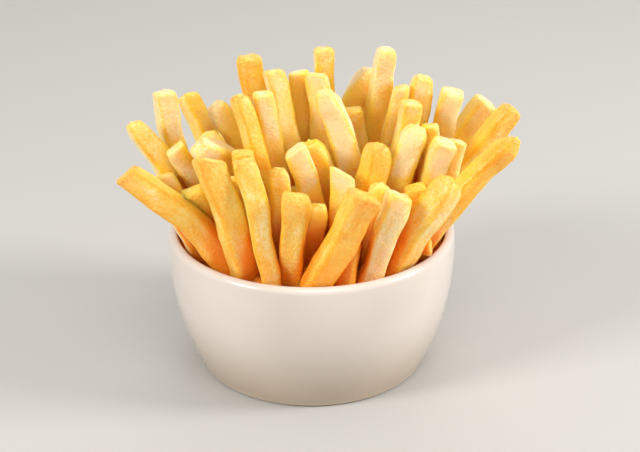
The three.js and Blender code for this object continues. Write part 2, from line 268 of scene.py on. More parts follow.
def finished(shape, name, replaced):
    """Turns a bmesh in millimetres into a smooth piece of the portion that stands for a CAD node."""
    bmesh.ops.scale(shape, vec=(MM, MM, MM), verts=shape.verts)
    mesh = bpy.data.meshes.new(name)
    shape.to_mesh(mesh)
    shape.free()
    mesh.shade_smooth()
    piece = bpy.data.objects.new(name, mesh)
    bpy.context.scene.collection.objects.link(piece)
    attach(piece, "root")
    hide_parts(replaced)
    triangles = sum(len(face.vertices) - 2 for face in mesh.polygons)
    print(name, "has", triangles, "triangles.")
    return piece


glazed_bowl = finished(spun(bowl_outline(), BOWL_STEPS), "glazed_bowl", "bowl")

# %% [markdown]
# ## Where the fries stand
# A heap like this can't be left to chance, because the outline of the fan is what one recognises. So
# each fry that shows is written down: where its middle line passes the rim, where its tip is, how thick
# it is at both, how far it is rolled about itself, how far it bows to the right, and how its end is cut
# from side to side and from front to back. The same rows make the CAD solid. Here each row also says how
# the fry is fried, from 0 for pale to 1 for dark, how round its tip is, and how much the tip narrows, or
# widens where the number is below zero.

# %% The rows
class Fry:
    """One potato stick, in millimetres and degrees."""

    def __init__(self, foot, tip, thick, turn, bow, cut, fried, round_tip=0.08, narrow=0.0, back_cut=12):
        self.foot = np.array([*foot, RIM_HEIGHT], float)
        self.tip = np.array(tip, float)
        self.thick = thick
        self.turn = turn
        self.bow = bow
        self.cut = cut
        self.fried = fried
        self.round_tip = round_tip
        self.narrow = narrow
        self.back_cut = back_cut


FRONT_ROW = [
    Fry((-42.5, -26), (-65.5, -27, 87), (11, 8.6), 10, 4.5, 0, 1),
    Fry((-26, -39), (-35, -40, 98), (9.4, 10.5), 30, 2, 15, 0.9, back_cut=28),
    Fry((-16, -43), (-23, -41, 98), (7.4, 9), 5, 1, 5, 0.85, 0.35),
    Fry((-7, -39), (-5, -41, 85), (8, 10.5), 0, 0, 10, 0.85, 0.35, back_cut=18),
    Fry((3.5, -44), (18.5, -45, 86.5), (9.5, 10.3), 10, 1, 0, 1, 0.1, -0.12, 20),
    Fry((12.5, -38), (13, -37, 66), (7, 7), 0, 0, 0, 1),
    Fry((22, -40), (30.5, -39, 84), (8, 9.5), 10, 1, 5, 0.2),
    Fry((35.5, -32), (49.5, -32, 86.5), (11.5, 9.8), 45, 0, 0, 0.8, 0.6, 0.1),
]
SECOND_ROW = [
    Fry((-43.5, -8), (-64.5, -14, 102.5), (9.2, 8.2), 30, 3, 0, 0.5, 0.5, 0.1),
    Fry((-44, -16.5), (-53, -20, 84), (8, 8), 20, 0, 5, 0.15),
    Fry((-31.5, -22), (-44.5, -29, 80.5), (9, 9), 0, 0, 10, 0.7),
    Fry((-31.5, -13), (-49, -22, 96), (8, 8), 20, 0, -10, 0),
    Fry((-19.5, -31), (-29, -33, 88), (7, 7), 0, 0, 15, 0.4),
    Fry((-18, -18), (-23, -24, 94), (8, 8), 10, 0, 5, 0.85),
    Fry((-12.5, -29), (-11, -34, 92.5), (8, 8), 0, 0, 0, 0.75, 0.8, 0.15),
    Fry((-2, -30), (3, -37, 79), (8.5, 8.5), 0, 0, -10, 0, 0.8, 0.15),
    Fry((8, -20), (-5, -24, 95.5), (9, 9), 5, 0, -20, 0),
    Fry((12, -29), (10, -26, 87), (9.3, 9.3), 5, 0, 30, 0.05),
    Fry((21.5, -29), (25, -30, 83.5), (8, 8), 0, 0, 0, 0.05, 0.6),
    Fry((32.5, -24), (37.5, -27, 82), (8, 8), 0, 0, -15, 1),
    Fry((46, -17.5), (73.5, -24, 99), (8.4, 8), 20, -3, 0, 1, 0.7, 0.4),
    Fry((42, -25), (43, -26, 57), (6.5, 6.5), 20, 0, 10, 0.9),
]
THIRD_ROW = [
    Fry((-46, 1), (-54.5, -2, 109), (8.3, 8), 25, 0, 5, 0.15),
    Fry((-24, 0), (-39, 0, 92), (9.5, 9.5), 0, 0, -10, 0.45, 0.5),
    Fry((-2, 20), (-40, -27, 98), (9.5, 9.5), 20, 0, 0, 0, 0.5, 0.1),
    Fry((-10.5, -18), (-25.5, -15, 112.5), (7.2, 7), 30, 0, 0, 1, 0.4),
    Fry((-11.5, 2), (-18, -4, 108), (10, 7.8), 5, 0, 5, 0.4),
    Fry((0, 1), (-13.5, 6, 114), (7.8, 7.8), 20, 0, 5, 0.5),
    Fry((13, -9), (1, -13, 94.5), (9.5, 9), 0, 0, 0, 0.7, 0.8, 0.1),
    Fry((23, -4), (4, -7, 110.5), (9.8, 9.6), 0, 1, 10, 0.3, 0.4, 0.3),
    Fry((16.5, -19), (24.5, -18, 94.5), (9.8, 9.8), 20, 0, 0, 1, 0.4, 0.15),
    Fry((23, -15), (38.5, -16, 101), (10, 10), 0, 0, 0, 0, 0.9, 0.15),
    Fry((40, -10), (49, -20, 95.5), (9, 9), 10, 0, 5, 0.15),
    Fry((46.5, -8), (54, -12, 92.5), (7.5, 7), 0, 0, 0, 0.15),
    Fry((45, -3), (44, -6, 97), (7.5, 7), 0, 0, 0, 0),
]
TALL_ROW = [
    Fry((-28, 12), (-46.5, 14, 102.5), (8.5, 8), 40, 0, 0, 0.55, 0.3),
    Fry((-10, 13), (-36, 10, 100), (9.5, 9), 20, 0, -5, 0, 0.7, 0.1),
    Fry((-17, 24), (-23, 19, 115), (9.7, 9.7), 0, 0, 5, 0.85),
    Fry((1, 17), (-5, 16, 109.5), (8, 8), 5, 0, 0, 0),
    Fry((6, 7), (3, 5, 113), (9, 9), 5, 0, 5, 0.3),
    Fry((9.5, 17), (5, 15, 119.5), (7.6, 7.4), 5, 0, 0, 0.65),
    Fry((-4, 27), (24.5, 28, 106), (9.5, 9.5), 5, 0, -15, 0, 0.5),
    Fry((20, 18), (17, 8, 98.5), (8, 8), 5, 0, 0, 0.45),
    Fry((19.5, 27), (28, 11, 121), (10.5, 7.6), 10, 0, 5, 0, 0.3),
    Fry((25.5, 7), (33.5, 2, 108.5), (7.5, 6.5), 5, 0, -20, 0.45),
    Fry((26, 3), (37, -4, 105), (8.5, 8), 10, 0, 0, 0.55),
    Fry((32.5, 13), (42, 8, 110.5), (9, 9), 0, 0, 5, 0.3, 0.3, 0.15),
    Fry((44.5, 14), (53, 6, 105.5), (8.8, 8.8), 0, 0, 0, 0.15),
    Fry((40, 24), (67, 14, 98), (8.8, 8.8), 10, 0, 0, 0),
    Fry((42, 5), (75, 1, 100.5), (8.8, 8.8), 10, 0, 0, 1, 0.3, 0.1),
]
fries = FRONT_ROW + SECOND_ROW + THIRD_ROW + TALL_ROW
print(len(fries), "fries show.")

# %% [markdown]
# ## The fries that fill the heap
# Behind the tall fries and low between the front ones the heap has to go on. An even grid of triangles
# finds the free places, and a small repeatable random source gives each of these fries its own height,
# thickness, roll and cut. The source is written out so that it draws what the CAD solid drew.

# %% The grid of fries
GRID_STEP = 10.8
GRID_RADIUS = 45.5
GRID_CLEAR = 8.8
BACK_LINE = 20
BACK_RISE = 44
BACK_FALL = 0.4
SIDE_FALL = 0.12
LOW_RISE = 21
RISE_SPREAD = 4
OUTWARD_LEAN = 0.42
GRID_THICK = 9
THICK_SPREAD = 0.7
GRID_TURN = 90
GRID_CUT = 15
RANDOM_SEED = 20011


def random_source(seed):
    """Numbers from 0 to 1: each state is the last one times a multiplier, modulo a prime."""
    multiplier = 16807
    prime = 2147483647
    state = seed
    while True:
        state = state * multiplier % prime
        yield state / prime


def either_way(draws):
    """The next draw, brought to -1 to 1."""
    return (next(draws) - 0.5) * 2


def add_grid_fries(fries):
    draws = random_source(RANDOM_SEED)
    row_step = GRID_STEP * math.sqrt(3) / 2
    reach = math.ceil(GRID_RADIUS / row_step)
    for row in range(-reach, reach + 1):
        for column in range(-reach, reach + 1):
            x = (column + (0 if row % 2 == 0 else 0.5)) * GRID_STEP
            y = row * row_step
            taken = any(math.hypot(fry.foot[0] - x, fry.foot[1] - y) < GRID_CLEAR for fry in fries)
            if math.hypot(x, y) > GRID_RADIUS or taken:
                continue
            behind = BACK_RISE - BACK_FALL * y - SIDE_FALL * abs(x)
            highest = behind if y > BACK_LINE else LOW_RISE
            rise = highest + RISE_SPREAD * either_way(draws)
            lean = 1 + OUTWARD_LEAN * rise / GRID_RADIUS
            thick = GRID_THICK + THICK_SPREAD * either_way(draws)
            turn = GRID_TURN * next(draws)
            cut = GRID_CUT * either_way(draws)
            tip = (x * lean, y * lean, RIM_HEIGHT + rise)
            fries.append(Fry((x, y), tip, (thick, thick), turn, bow=0, cut=cut, fried=0.5))


add_grid_fries(fries)
print("With those that fill the heap there are", len(fries), "fries.")

# %% [markdown]
# ## The line and the section of a fry
# To settle a heap, a program has to know where each fry is. A fry is treated as a straight line from its
# foot at the rim to its tip, with a square section about it. Below the rim it goes on by a sunk length
# that nobody sees. These helpers say which way the line and the sides of the square point, how far the
# square reaches in any direction, and where two lines come closest.

# %% Lines and sections
SUNK = 16
TINY = 1e-6


def clamp(value):
    """A value held between 0 and 1."""
    return min(1, max(0, value))


def unit(vector):
    return vector / math.sqrt(vector @ vector)


def cross(first, second):
    x, y, z = first
    u, v, w = second
    return np.array([y * w - z * v, z * u - x * w, x * v - y * u])


def directions(fry):
    """Unit vectors along a fry, across it, and the two that its square section is set to."""
    along = unit(fry.tip - fry.foot)
    across = unit(cross((0, 1, 0), along))
    back = cross(along, across)
    roll = math.radians(fry.turn)
    wide = across * math.cos(roll) + back * math.sin(roll)
    deep = back * math.cos(roll) - across * math.sin(roll)
    return along, across, wide, deep


def point_at(fry, share):
    return fry.foot + (fry.tip - fry.foot) * share


def thick_at(fry, share):
    return fry.thick[0] + (fry.thick[1] - fry.thick[0]) * max(0, share)


def bulge_of(fry, share):
    """How far a fry bows to the right, at a share of its whole length with its sunk part."""
    return fry.bow * 4 * share * (1 - share)


def reach_of(fry, sides, share, direction):
    """Half the width of a fry's section along a direction."""
    wide, deep = sides[2:]
    return thick_at(fry, share) / 2 * (abs(wide @ direction) + abs(deep @ direction))


def closest_shares(first, second):
    """Where two middle lines come closest, as shares of their lengths."""
    first_line = first.tip - first.foot
    second_line = second.tip - second.foot
    between = first.foot - second.foot
    first_square = first_line @ first_line
    second_square = second_line @ second_line
    both = first_line @ second_line
    first_lead = first_line @ between
    second_lead = second_line @ between
    spread = max(first_square * second_square - both * both, TINY)
    first_share = clamp((both * second_lead - first_lead * second_square) / spread)
    free_share = (both * first_share + second_lead) / second_square
    second_share = clamp(free_share)
    if free_share != second_share:
        first_share = clamp((both * second_share - first_lead) / first_square)
    return first_share, second_share


longest = max(math.dist(fry.foot, fry.tip) for fry in fries)
print("The longest fry reaches", round(longest), "mm past the rim.")

# %% [markdown]
# ## Off the bowl's wall and lip
# A fry leans on the lip, but can't pass through it. The lip is a round bar bent into a ring, so the room
# that a fry has is its distance from that ring, or from the wall where it is lower. Points along the fry
# are tried one after another, and where one has too little room the fry moves away by what it lacks.

# %% Holding a fry clear of the bowl
GAP = 0.4
PROBES = 14
PROBED_SHARE = 0.6


def move(fry, share, push):
    """Moves a fry by a push at a share of its length, so it tilts as a real one would."""
    fry.foot = fry.foot + push * (1 - share)
    fry.tip = fry.tip + push * share


def keep_clear_of_bowl(fry):
    sides = directions(fry)
    lip = WALL / 2
    lip_height = RIM_HEIGHT - lip
    lip_radius = outer_radius(lip_height) - lip
    sunk_share = SUNK / math.dist(fry.foot, fry.tip)
    for probe in range(PROBES):
        share = -sunk_share + (PROBED_SHARE + sunk_share) * probe / (PROBES - 1)
        bowed = bulge_of(fry, (share + sunk_share) / (1 + sunk_share))
        point = point_at(fry, share) + sides[1] * bowed
        outward = unit(np.array([point[0], point[1], 0]))
        ahead = math.hypot(point[0], point[1]) - lip_radius
        above = point[2] - lip_height
        away = -outward
        room = -ahead
        if above > 0:
            room = math.hypot(ahead, above)
            away = outward * ahead / room + np.array([0, 0, above / room])
        lack = reach_of(fry, sides, share, away) + lip + GAP - room
        if lack > 0:
            move(fry, max(0, share), away * lack)


print("Fries are held", GAP, "mm clear of a lip", WALL, "mm thick.")

# %% [markdown]
# ## Letting the fries settle
# The listed rows cross each other here and there. Real fries can't, so they are pushed apart a little at
# a time: mostly to the back and down, where it doesn't change the outline of the fan, while each end is
# pulled back towards its place. A physics simulation would find a heap of its own. This loop keeps the
# one that was written down.

# %% Settling
SETTLE_ROUNDS = 80
NEAR = 26
SLIP_ANGLE = 0.45
SLIP_SHARE = 0.3
SIDE_SHARE = 0.17
LEAST_SLIP = 0.3
HOLD = 0.1
CONTACT = 0.05
SLIP = np.array([0, math.cos(SLIP_ANGLE), -math.sin(SLIP_ANGLE)])


def part(first, second, sides):
    """Moves two fries that cross a little apart."""
    first_share, second_share = closest_shares(first, second)
    apart = point_at(first, first_share) - point_at(second, second_share)
    distance = max(math.sqrt(apart @ apart), TINY)
    apart = apart / distance
    first_reach = reach_of(first, sides[first], first_share, apart)
    second_reach = reach_of(second, sides[second], second_share, apart)
    crossing = first_reach + second_reach - distance
    if crossing < CONTACT:
        return
    slope = apart @ SLIP
    way = 1 if slope >= 0 else -1
    push = (apart - SLIP * slope) * crossing * SIDE_SHARE
    push = push + SLIP * way * crossing * SLIP_SHARE * max(abs(slope), LEAST_SLIP)
    move(first, first_share, push)
    move(second, second_share, -push)


def are_near(first, second):
    first_share, second_share = closest_shares(first, second)
    return math.dist(point_at(first, first_share), point_at(second, second_share)) < NEAR


def near_pairs(fries):
    pairs = []
    for index, first in enumerate(fries):
        pairs.extend((first, second) for second in fries[index + 1 :] if are_near(first, second))
    return pairs


def pulled_home(end, home):
    """An end of a fry, a little nearer to its place, but free to stay back and down."""
    pull = home - end
    return end + (pull - SLIP * (pull @ SLIP)) * HOLD


def settle(fries):
    homes = [(fry.foot, fry.tip) for fry in fries]
    pairs = near_pairs(fries)
    for _ in range(SETTLE_ROUNDS):
        sides = {fry: directions(fry) for fry in fries}
        for first, second in pairs:
            part(first, second, sides)
        for fry, (home_foot, home_tip) in zip(fries, homes):
            fry.foot = pulled_home(fry.foot, home_foot)
            fry.tip = pulled_home(fry.tip, home_tip)
            keep_clear_of_bowl(fry)
    return len(pairs)


print("Pairs of fries near each other:", settle(fries))

# %% [markdown]
# ## The straight stick
# A fry starts as a stick of potato from a square cutter, whose edges go soft in the oil. A cube drawn
# out to the stick's size has its four long edges bevelled round. Then its sides and its length are cut
# into small even faces, so that the skin can be shaped later. A cylinder pressed square would do too,
# but its faces would be crowded at the corners.

# %% A square stick with soft edges
EDGE_SOFTNESS = 2.3
EDGE_SEGMENTS = 4
SIDE_CUTS = 4
RING_STEP = 1.3
END_RADIUS = 1.3
MOSTLY = 0.5


def long_edges(shape, axis, least):
    """The edges that run along an axis for more than a given length."""
    return [edge for edge in shape.edges if abs(edge.verts[0].co[axis] - edge.verts[1].co[axis]) > least]


def straight_stick(half, length):
    """A straight stick up +Z whose section reaches from -1 to 1, with its skin in even rings."""
    shape = bmesh.new()
    body = length - END_RADIUS
    bmesh.ops.create_cube(shape, size=2)
    bmesh.ops.scale(shape, vec=(half, half, body / 2), verts=shape.verts)
    bmesh.ops.translate(shape, vec=(0, 0, body / 2), verts=shape.verts)
    bmesh.ops.bevel(
        shape,
        geom=long_edges(shape, 2, body / 2),
        offset=EDGE_SOFTNESS,
        segments=EDGE_SEGMENTS,
        profile=0.5,
        affect="EDGES",
        material=-1,
    )
    for axis in (0, 1):
        flat_edges = long_edges(shape, axis, half)
        bmesh.ops.subdivide_edges(shape, edges=flat_edges, cuts=SIDE_CUTS, use_grid_fill=True)
    shape.normal_update()
    ends = [face for face in shape.faces if abs(face.normal.z) > MOSTLY]
    bmesh.ops.dissolve_faces(shape, faces=ends)
    rings = round(body / RING_STEP)
    bmesh.ops.subdivide_edges(shape, edges=long_edges(shape, 2, body / 2), cuts=rings, use_grid_fill=True)
    bmesh.ops.scale(shape, vec=(1 / half, 1 / half, 1), verts=shape.verts)
    return shape


sample_half, sample_length = 4.5, 60
sample = straight_stick(sample_half, sample_length)
print("The skin of a straight stick has", len(sample.faces), "faces.")

# %% [markdown]
# ## The cut end
# The upper end is a flat cut with an edge that has gone a little round. Its one big face is inset again
# and again: the first rings go round the edge and the next ones lie flat, down to a small face in the
# middle that is split into a fan. The lower end is never seen and stays one flat face.

# %% A closed end
END_ROUND_RINGS = 3
END_FLAT_RINGS = 4


def end_rings(length, half):
    """The width, as a share of the stick's, and the height of each ring from the edge to the middle."""
    rings = []
    for ring in range(1, END_ROUND_RINGS + 1):
        angle = ring / END_ROUND_RINGS * math.pi / 2
        inset = END_RADIUS * (1 - math.cos(angle)) / half
        rings.append((1 - inset, length - END_RADIUS * (1 - math.sin(angle))))
    edge_width = rings[-1][0]
    for ring in range(1, END_FLAT_RINGS):
        rings.append((edge_width * (1 - ring / END_FLAT_RINGS), length))
    return rings


def close_end(shape, length, half):
    """Rounds the edge of the upper end and fills its face with rings down to the middle."""
    top = max(shape.faces, key=lambda face: face.calc_center_median().z)
    any_small_inset = END_RADIUS / half / 10
    width_before = 1
    for width, z in end_rings(length, half):
        outer = set(top.verts)
        bmesh.ops.inset_individual(shape, faces=[top], thickness=any_small_inset)
        for vert in top.verts:
            mates = [edge.other_vert(vert) for edge in vert.link_edges]
            place = next(mate.co for mate in mates if mate in outer) * (width / width_before)
            vert.co = (place.x, place.y, z)
        width_before = width
    bmesh.ops.poke(shape, faces=[top])


close_end(sample, sample_length, sample_half)
print("With its closed end it has", len(sample.faces), "faces.")
sample.free()

# %% [markdown]
# ## The skin
# In the oil the flat sides of a fry sink a little as the water leaves, and the skin wrinkles. Each point
# of the stick is pushed in along its normal by a little noise: large, soft dents, smaller wrinkles and
# fine blisters. Noise that is measured in millimetres looks the same on a thick and on a thin fry.

# %% Dents and wrinkles
SIDE_HOLLOW = 0.12
HOLLOW_LENGTH = 14
EDGE_RANGE = (0.6, 0.9)
WRINKLES = ((13.0, 0.7), (5.0, 0.36), (2.2, 0.14))
WRINKLE_PACE = 0.7


def ease(value, low, high):
    """0 below low, 1 above high and a smooth step between them."""
    share = clamp((value - low) / (high - low))
    return share * share * (3 - 2 * share)


def near_tip(from_tip, reach, full=0.0):
    """0 further than a reach from the tip, 1 nearer to it than full, and a smooth step between."""
    return ease(-from_tip, -reach, -full)


def edge_of(x, y):
    """0 on the flat of a side and 1 on a long edge."""
    return ease(min(abs(x), abs(y)) / max(abs(x), abs(y), TINY), *EDGE_RANGE)


def relief(point, seed):
    """How far the skin lies below or, if negative, above the stick's own surface, in millimetres."""
    depth = 0
    for size, height in WRINKLES:
        place = Vector((point.x / size, point.y / size, point.z / size * WRINKLE_PACE + seed))
        depth += height * noise.noise(place)
    return depth


def side_hollow(x, y, z, seed):
    """How far the flat of a side has sunk, in millimetres."""
    return SIDE_HOLLOW * (1 - edge_of(x, y)) * (1 + noise.noise(Vector((x, y, z / HOLLOW_LENGTH + seed))))


print("The skin's waves are", ", ".join(str(size) for size, height in WRINKLES), "mm long.")

# %% [markdown]
# ## Giving a fry its own shape
# Each point of the straight stick now goes to its place on the fry, in small steps: the stick gets its
# true thickness and its skin, its tip narrows and rounds, the cut face slants and frays, and the whole
# twists, wavers and bows. Most steps take something away or shift the stick by less than a millimetre,
# so that fries that settled side by side hardly ever cross. Sculpting sixty fries by hand would take a
# day, and formulas with a seed give each fry a shape of its own in a moment.

# %% From the stick to the fry
PLUMPNESS = 0.05
WAVER = 0.4
WAVER_LENGTH = 28
WAVER_PACE = 0.8
TWIST = 7
TWIST_PACE = 2
TIP_REACH = 8
ROUND_TIP_REACH = 6
ROUND_TIP_DROP = 0.4
END_FACE = 0.3
RAGGED = 0.5
RAGGED_PACE = 1.5
OFF_LATTICE = 0.5


class Shaping:
    """Takes the points of one straight stick to their places on one fry."""

    def __init__(self, fry, length, seed):
        self.fry = fry
        self.length = length
        self.seed = seed
        self.along, self.across, self.wide, self.deep = directions(fry)
        back = cross(self.along, self.across)
        self.wide_back = self.wide @ back
        self.deep_back = self.deep @ back
        self.start = fry.foot - self.along * SUNK
        self.slope = math.tan(math.radians(fry.cut))
        self.back_slope = math.tan(math.radians(fry.back_cut))
        self.phases = [noise.noise(Vector((seed, turn, OFF_LATTICE))) * math.tau for turn in range(3)]

    def half_at(self, z):
        """Half the fry's thickness."""
        return thick_at(self.fry, (z - SUNK) / (self.length - SUNK)) / 2 + PLUMPNESS

    def narrowing(self, from_tip):
        """What is left of the width near the tip."""
        dome = math.sqrt(1 - clamp(1 - from_tip / ROUND_TIP_REACH) ** 2)
        pointed = 1 - self.fry.narrow * near_tip(from_tip, TIP_REACH)
        return pointed * (1 - self.fry.round_tip * (1 - dome))

    def skin_point(self, x, y, z, normal):
        """A point at its true thickness, with the skin pushed in along its normal."""
        from_tip = self.length - z
        width = self.half_at(z) * self.narrowing(from_tip)
        point = Vector((x * width, y * width, z))
        hollow = side_hollow(x, y, z, self.seed) * (1 - near_tip(from_tip, END_RADIUS, END_FACE))
        return point - normal * (hollow + relief(point, self.seed))

    def tip_drop(self, x, y, z, point):
        """How far a point near the tip lies below a straight cut: rounded, slanted, ragged and dented."""
        from_tip = self.length - z
        rim = max(abs(x), abs(y))
        drop = self.fry.round_tip * self.half_at(z) * ROUND_TIP_DROP * rim**2
        slant = point.x * self.slope + (point.x * self.wide_back + point.y * self.deep_back) * self.back_slope
        ragged = RAGGED * noise.noise(Vector((x * RAGGED_PACE, y * RAGGED_PACE, self.seed)))
        dent = relief(point, self.seed) * near_tip(from_tip, END_RADIUS, END_FACE)
        return drop * near_tip(from_tip, END_RADIUS) + (slant - ragged) * near_tip(from_tip, TIP_REACH) + dent

    def placed(self, x, y, z, point):
        """The point's place in the heap, on a stick that twists, wavers and bows."""
        share = z / self.length
        twist = math.radians(TWIST) * math.sin(share * TWIST_PACE + self.phases[0])
        waver = z / WAVER_LENGTH * math.tau
        across_wide = point.x * math.cos(twist) - point.y * math.sin(twist)
        across_deep = point.x * math.sin(twist) + point.y * math.cos(twist)
        across_wide += WAVER * math.sin(waver + self.phases[1])
        across_deep += WAVER * math.sin(waver * WAVER_PACE + self.phases[2])
        height = z - self.tip_drop(x, y, z, point)
        middle = self.start + self.along * height + self.across * bulge_of(self.fry, share)
        return middle + self.wide * across_wide + self.deep * across_deep


print("A fry twists by up to", TWIST, "degrees and wavers by", WAVER, "mm.")

# %% [markdown]
# ## What the finish will need
# The colour of a fry depends on where a point is: edges and cut ends brown first and also carry some
# painted shade, and the grain runs along the stick. Once the fry is bent, that can't be told from its
# place any more. So each point keeps three numbers for its looks (how the fry is fried, how near an edge
# it is, how near the end) and its place on the straight stick as attributes of the mesh, which
# materials can read.

# %% Shaping a fry and noting its looks
CRUST_REACH = 4
CRUST_FULL = 0.5
CRUST_RIM = (0.55, 0.85)
BROWN_REACH = 14
GRAIN_SHIFT = 20


def end_browning_and_shade(x, y, from_tip):
    """0 along the stick and 1 on the rim of its end."""
    crust = near_tip(from_tip, CRUST_REACH, CRUST_FULL) * ease(max(abs(x), abs(y)), *CRUST_RIM)
    return (near_tip(from_tip, BROWN_REACH) + crust) / 2


def shape_fry(shape, fry, length, seed):
    """Makes a straight stick a fry in its place in the heap."""
    shaping = Shaping(fry, length, seed)
    shape.normal_update()
    normals = [vert.normal.copy() for vert in shape.verts]
    grain = shape.verts.layers.float_vector.new("grain")
    looks = shape.verts.layers.float_vector.new("looks")
    for vert, normal in zip(shape.verts, normals):
        x, y, z = vert.co
        point = shaping.skin_point(x, y, z, normal)
        vert[grain] = (point.x + seed * GRAIN_SHIFT, point.y, z)
        vert[looks] = (fry.fried, edge_of(x, y), end_browning_and_shade(x, y, length - z))
        vert.co = shaping.placed(x, y, z, point)


sample = straight_stick(sample_half, sample_length)
shape_fry(sample, fries[0], sample_length, seed=1)
print("A fry carries", ", ".join(sample.verts.layers.float_vector.keys()))
sample.free()

# %% [markdown]
# ## Where the heap is crowded
# Deep between its neighbours and low in the heap a fry lies in shade, and the light that reaches it has
# gone through other fries. That shade is painted into its colour as a deep orange. To measure it, each
# point of the skin looks a few millimetres out along its normal and measures how close the middle lines
# of the other fries are to that place. The lower the point, the more painted shade it gets.

# %% Crowding
HALFWAY = 0.5
LOOK_OUT = (3.0, 8.0)
CROWD_REACH = 5.5
CROWD_TOP = 88
CROWD_BOTTOM = 55
CLOSED_BY_ONE = 0.6
LOW_SHARE = 0.55


def crowding(points, normals, others):
    """How much painted shade a point gets: 0 in the open at the top of the heap, and more where other fries
    close a point in, low down.
    """
    open_share = np.ones(len(points))
    for distance in LOOK_OUT:
        places = points + normals * distance
        for other in others:
            line = other.tip - other.foot
            shares = np.clip((places - other.foot) @ line / (line @ line), -1, 1)
            gaps = np.linalg.norm(places - other.foot - shares[:, None] * line, axis=1)
            gaps = gaps - thick_at(other, HALFWAY) / 2
            closeness = np.clip(1 - gaps / CROWD_REACH, 0, 1)
            open_share = open_share * (1 - CLOSED_BY_ONE * closeness)
    # Painted shade: more where other fries are close, and more the lower the point.
    deep = np.clip((CROWD_TOP - points[:, 2]) / (CROWD_TOP - CROWD_BOTTOM), 0, 1)
    return (1 - open_share + LOW_SHARE) * deep


print("The heap counts as crowded below", CROWD_TOP, "mm.")

# %% [markdown]
# ## How much sky a fry sees
# Higher up, the sides that face other fries are painted a richer gold than those in the open: painted
# shade for the light that reaches them only through other potato. To measure that, each point looks up
# and round about. Seen from it, another fry hides a direction if its middle line passes near the ray.
# The ray and the line come closest at a place that plain algebra gives, which is far quicker than tracing
# the meshes.

# %% Openness
SKY_SIDES = 6
SKY_HEIGHT = math.radians(25)
LEAST_SKY = 0.35
HIDDEN_WITHIN = 0.7
USUAL_LENGTH = 50


def sky_directions():
    """Straight up and evenly round about, a little above the horizon."""
    sky = [np.array([0.0, 0.0, 1.0])]
    for side in range(SKY_SIDES):
        angle = side / SKY_SIDES * math.tau
        flat = math.cos(SKY_HEIGHT)
        sky.append(np.array([flat * math.cos(angle), flat * math.sin(angle), math.sin(SKY_HEIGHT)]))
    return sky


def clear_of(points, direction, other):
    """1 where a ray from a point passes well beside a fry, 0 where it goes through it."""
    line = other.tip - other.foot
    lean = direction @ line
    ahead = (points - other.foot) @ direction
    aside = (points - other.foot) @ line
    shares = np.clip((aside - ahead * lean) / (line @ line - lean**2), -SUNK / USUAL_LENGTH, 1)
    steps = np.clip(shares * lean - ahead, 0, None)
    gaps = points - other.foot + steps[:, None] * direction - shares[:, None] * line
    radius = thick_at(other, HALFWAY) / 2
    return np.clip(np.linalg.norm(gaps, axis=1) / radius - HIDDEN_WITHIN, 0, 1)


def openness(points, normals, others):
    """How much of the sky that a point of the skin faces isn't hidden by other fries."""
    faced = np.zeros(len(points))
    seen = np.zeros(len(points))
    for direction in sky_directions():
        facing = np.clip(normals @ direction, 0, 1)
        clear = np.ones(len(points))
        for other in others:
            clear = np.minimum(clear, clear_of(points, direction, other))
        faced += facing
        seen += facing * clear
    return seen / np.maximum(faced, LEAST_SKY)


print("Each point looks in", len(sky_directions()), "directions.")

# %% [markdown]
# ## A whole fry
# Now a fry can be made from start to end: stick, cut end, shape, and the two numbers that say how
# crowded and how open each point of it is. The finished fry goes into the bmesh of its heap.

# %% Adding a fry to a heap
TIP_RISE = 1.5


def add_fry(heap, fry, seed):
    length = math.dist(fry.foot, fry.tip) + SUNK + TIP_RISE
    half = thick_at(fry, 1) / 2
    shape = straight_stick(half, length)
    close_end(shape, length, half)
    shape_fry(shape, fry, length, seed)
    crowd = shape.verts.layers.float.new("crowd")
    opened = shape.verts.layers.float.new("open")
    shape.normal_update()
    points = np.array([vert.co for vert in shape.verts])
    normals = np.array([vert.normal for vert in shape.verts])
    near = [other for other in fries if other is not fry and are_near(fry, other)]
    values = zip(shape.verts, crowding(points, normals, near), openness(points, normals, near))
    for vert, crowd_value, open_value in values:
        vert[crowd] = crowd_value
        vert[opened] = open_value
    mesh = bpy.data.meshes.new("one_fry")
    shape.to_mesh(mesh)
    shape.free()
    heap.from_mesh(mesh)
    bpy.data.meshes.remove(mesh)


print("A fry goes on", SUNK, "mm below the rim and", TIP_RISE, "mm past the place of its tip.")

# %% [markdown]
# ## The heap
# The fries are joined by how dark they are fried, so that each piece stays small enough to export whole.
# All three share one finish. Sixty objects would look the same, but be slower to handle.

# %% Fries by kind
PALE_BELOW = 0.38
DARK_ABOVE = 0.57
KINDS = ("pale_fries", "golden_fries", "dark_fries")


def kind_of(fry):
    if fry.fried < PALE_BELOW:
        return "pale_fries"
    return "dark_fries" if fry.fried > DARK_ABOVE else "golden_fries"


def fry_pieces(fries):
    pieces = {}
    for kind in KINDS:
        heap = bmesh.new()
        for index, fry in enumerate(fries):
            if kind_of(fry) == kind:
                add_fry(heap, fry, index + 1)
        bmesh.ops.recalc_face_normals(heap, faces=heap.faces)
        pieces[kind] = finished(heap, kind, "fries")
    return pieces


pieces = fry_pieces(fries)

# %% [markdown]
# ## What lies under them
# Between the fries one looks down on others that lie deep in the bowl. Only their lumpy, shaded tops
# can be seen, so one spun dome with a bump for each of them stands in for the lot. The bumps come from
# a Voronoi pattern, whose cells have rounded middles and sharp valleys as packed sticks do.

# %% The core
CORE_EDGE = 50
CORE_TOP = 60
CORE_STEPS = 120
CORE_RINGS = 40
CORE_SIDE_POINTS = 10
LUMP_SIZE = 9
LUMP_HEIGHT = 5


def core_outline():
    outline = [(0, FLOOR + GAP), *inside_outline(CORE_EDGE, GAP, CORE_SIDE_POINTS)]
    edge_radius = inner_radius(CORE_EDGE, GAP)
    for step in range(1, CORE_RINGS):
        angle = step / CORE_RINGS * math.pi / 2
        height = CORE_EDGE + (CORE_TOP - CORE_EDGE) * math.sin(angle)
        outline.append((edge_radius * math.cos(angle), height))
    outline.append((0, CORE_TOP))
    return outline


